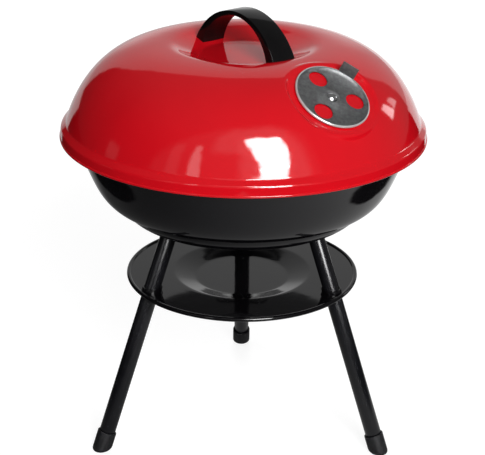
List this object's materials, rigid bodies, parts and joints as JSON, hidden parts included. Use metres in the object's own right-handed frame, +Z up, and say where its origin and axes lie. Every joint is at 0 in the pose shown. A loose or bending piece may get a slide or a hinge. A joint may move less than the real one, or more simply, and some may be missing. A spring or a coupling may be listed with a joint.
{
  "type": "kettle charcoal grill",
  "caption": "Small kettle charcoal grill with a domed lid, arch handle, turning air dampers, round bowl, wire grates, splayed tube legs and an ash plate.",
  "frame": {"origin": "on the kettle's axis, at the height of the ground that the three feet stand on", "axes": "+Z up, -Y towards the front, where the air damper sits to the right; +X to the right"},
  "size_m": [0.3596, 0.3596, 0.435],
  "materials": {
    "enamel_red": "glossy red porcelain enamel on pressed steel",
    "enamel_black": "glossy black porcelain enamel on steel",
    "leg_black": "semi-gloss black powder coat",
    "plastic_black": "glossy moulded black plastic",
    "rubber_black": "matt moulded rubber",
    "zinc_plate": "zinc-plated steel",
    "chrome_plate": "bright nickel or chrome plating",
    "steel_wire": "plain drawn steel wire"
  },
  "bodies": {
    "base": {"bowl_shell": "enamel_black", "bowl_damper_rivet": "chrome_plate", "bowl_damper_washer": "zinc_plate", "grate_bracket_front": "enamel_black", "grate_bracket_right": "enamel_black", "grate_bracket_left": "enamel_black", "leg_socket_left": "enamel_black", "leg_socket_right": "enamel_black", "leg_socket_back": "enamel_black", "socket_screws": "zinc_plate", "socket_nuts": "zinc_plate", "leg_left": "leg_black", "leg_right": "leg_black", "leg_back": "leg_black", "foot_cap_left": "rubber_black", "foot_cap_right": "rubber_black", "foot_cap_back": "rubber_black", "ash_plate": "enamel_black"},
    "lid": {"lid_shell": "enamel_red", "lid_handle": "plastic_black", "handle_screws": "zinc_plate", "handle_washers": "zinc_plate", "lid_damper_rivet": "chrome_plate", "lid_damper_washer": "zinc_plate"},
    "lid_damper": {"lid_damper": "zinc_plate"},
    "bowl_damper": {"bowl_damper": "zinc_plate"},
    "cooking_grate": {"cooking_grate": "chrome_plate"},
    "charcoal_grate": {"charcoal_grate": "steel_wire"}
  },
  "joints": [
    {"name": "lid_lift", "type": "slide", "parent": "base", "child": "lid", "axis": [0, 0, 1], "range_m": [0, 0.12]},
    {"name": "lid_damper_turn", "type": "hinge", "parent": "lid", "child": "lid_damper", "pos_m": [0.07906, -0.09939, 0.3795], "axis": [0.3481, -0.4376, 0.829], "continuous": true},
    {"name": "bowl_damper_turn", "type": "hinge", "parent": "base", "child": "bowl_damper", "pos_m": [0, 0, 0.235], "axis": [0, 0, 1], "continuous": true},
    {"name": "cooking_grate_lift", "type": "slide", "parent": "base", "child": "cooking_grate", "axis": [0, 0, 1], "range_m": [0, 0.045]},
    {"name": "charcoal_grate_lift", "type": "slide", "parent": "base", "child": "charcoal_grate", "axis": [0, 0, 1], "range_m": [0, 0.03]}
  ]
}
